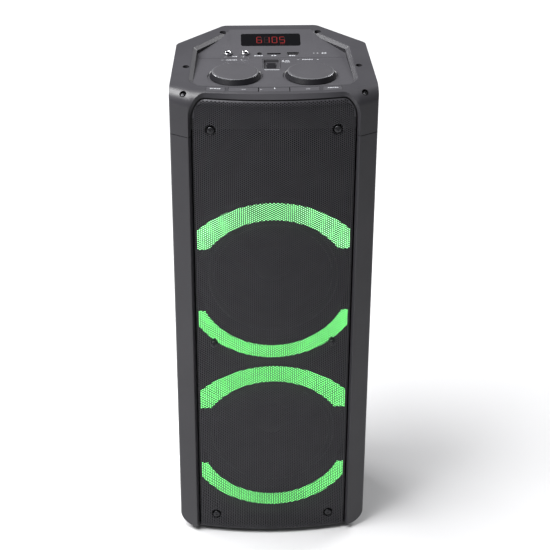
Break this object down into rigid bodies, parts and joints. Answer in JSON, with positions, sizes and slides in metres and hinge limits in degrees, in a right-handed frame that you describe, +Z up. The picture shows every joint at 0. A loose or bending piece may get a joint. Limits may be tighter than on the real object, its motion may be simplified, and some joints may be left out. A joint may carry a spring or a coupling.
{
  "type": "party speaker",
  "caption": "Tall twin-woofer party speaker with a wrap-over perforated grille, light-up arcs and a sunken top panel with two large knobs, sockets and a display.",
  "frame": {"origin": "centre of the cabinet's footprint (knobs, grille and rear included in plan), on the surface that the four feet stand on", "axes": "+X to the right as seen from the front; the grille faces -Y; +Z up"},
  "size_m": [0.2698, 0.22, 0.7219],
  "materials": {
    "shell": "charcoal grey moulded plastic, fine texture, satin",
    "deck": "mid grey moulded plastic, fine matte texture",
    "dark_plastic": "black moulded plastic",
    "grille": "black powder-coated perforated steel, satin",
    "screw": "blackened steel",
    "light_guide": "translucent plastic lit green from behind",
    "basket": "black painted stamped steel",
    "magnet": "grey ferrite",
    "rubber": "black rubber",
    "cone": "black paper cone",
    "window": "smoked glossy window",
    "chrome": "polished",
    "port_metal": "stamped steel",
    "board": "green circuit board",
    "battery": "heat-shrink wrap"
  },
  "bodies": {
    "cabinet": {"amplifier_board": "board", "aux_jack": "dark_plastic", "bass_port": "dark_plastic", "battery_pack": "battery", "card_slot": "dark_plastic", "connector_plate": "dark_plastic", "control_board": "board", "cover_screw_front_left": "screw", "cover_screw_front_right": "screw", "cover_screw_rear_left": "screw", "cover_screw_rear_right": "screw", "cover_screw_side_left": "screw", "cover_screw_side_right": "screw", "display_module": "dark_plastic", "display_window": "window", "foot_front_left": "rubber", "foot_front_right": "rubber", "foot_rear_left": "rubber", "foot_rear_right": "rubber", "front_frame": "shell", "grille": "grille", "grille_screw_bottom_left": "screw", "grille_screw_bottom_right": "screw", "grille_screw_middle_left": "screw", "grille_screw_middle_right": "screw", "grille_screw_top_left": "screw", "grille_screw_top_right": "screw", "lower_ring_bottom_light_guide": "light_guide", "lower_ring_top_light_guide": "light_guide", "lower_woofer_basket": "basket", "lower_woofer_magnet": "magnet", "lower_woofer_surround": "rubber", "mic_encoder_body": "port_metal", "mic_jack_1": "chrome", "mic_jack_2": "chrome", "power_inlet": "dark_plastic", "power_switch_body": "deck", "rear_shell": "shell", "top_cover": "shell", "upper_ring_bottom_light_guide": "light_guide", "upper_ring_top_light_guide": "light_guide", "upper_woofer_basket": "basket", "upper_woofer_magnet": "magnet", "upper_woofer_surround": "rubber", "usb_port": "port_metal", "volume_encoder_body": "port_metal"},
    "volume_knob_body": {"volume_knob": "deck", "volume_knob_shaft": "chrome"},
    "mic_knob_body": {"mic_knob": "deck", "mic_knob_shaft": "chrome"},
    "mode_key_body": {"mode_key": "deck"},
    "previous_key_body": {"previous_key": "deck"},
    "play_key_body": {"play_key": "deck"},
    "next_key_body": {"next_key": "deck"},
    "echo_key_body": {"echo_key": "deck"},
    "power_rocker_body": {"power_rocker": "dark_plastic"},
    "upper_cone_body": {"upper_woofer_cone": "cone"},
    "lower_cone_body": {"lower_woofer_cone": "cone"}
  },
  "joints": [
    {"name": "volume_knob_turn", "type": "hinge", "parent": "cabinet", "child": "volume_knob_body", "pos_m": [0.0493, -0.0385, 0.71221], "axis": [0, 0.0759, 0.9971], "continuous": true},
    {"name": "mic_knob_turn", "type": "hinge", "parent": "cabinet", "child": "mic_knob_body", "pos_m": [-0.0493, -0.0385, 0.71221], "axis": [0, 0.0759, 0.9971], "range_deg": [-150, 150]},
    {"name": "mode_key_press", "type": "slide", "parent": "cabinet", "child": "mode_key_body", "axis": [0, 0, -1], "range_m": [0, 0.0008], "stiffness_N_per_m": 300},
    {"name": "previous_key_press", "type": "slide", "parent": "cabinet", "child": "previous_key_body", "axis": [0, 0, -1], "range_m": [0, 0.0008], "stiffness_N_per_m": 300},
    {"name": "play_key_press", "type": "slide", "parent": "cabinet", "child": "play_key_body", "axis": [0, 0, -1], "range_m": [0, 0.0008], "stiffness_N_per_m": 300},
    {"name": "next_key_press", "type": "slide", "parent": "cabinet", "child": "next_key_body", "axis": [0, 0, -1], "range_m": [0, 0.0008], "stiffness_N_per_m": 300},
    {"name": "echo_key_press", "type": "slide", "parent": "cabinet", "child": "echo_key_body", "axis": [0, 0, -1], "range_m": [0, 0.0008], "stiffness_N_per_m": 300},
    {"name": "power_rocker_tilt", "type": "hinge", "parent": "cabinet", "child": "power_rocker_body", "pos_m": [-0.0007, 0.00676, 0.70175], "axis": [1, 0, 0], "range_deg": [-16, 0]},
    {"name": "upper_cone_travel", "type": "slide", "parent": "cabinet", "child": "upper_cone_body", "axis": [0, -1, 0], "range_m": [-0.003, 0.003], "stiffness_N_per_m": 2500},
    {"name": "lower_cone_travel", "type": "slide", "parent": "cabinet", "child": "lower_cone_body", "axis": [0, -1, 0], "range_m": [-0.003, 0.003], "stiffness_N_per_m": 2500}
  ]
}
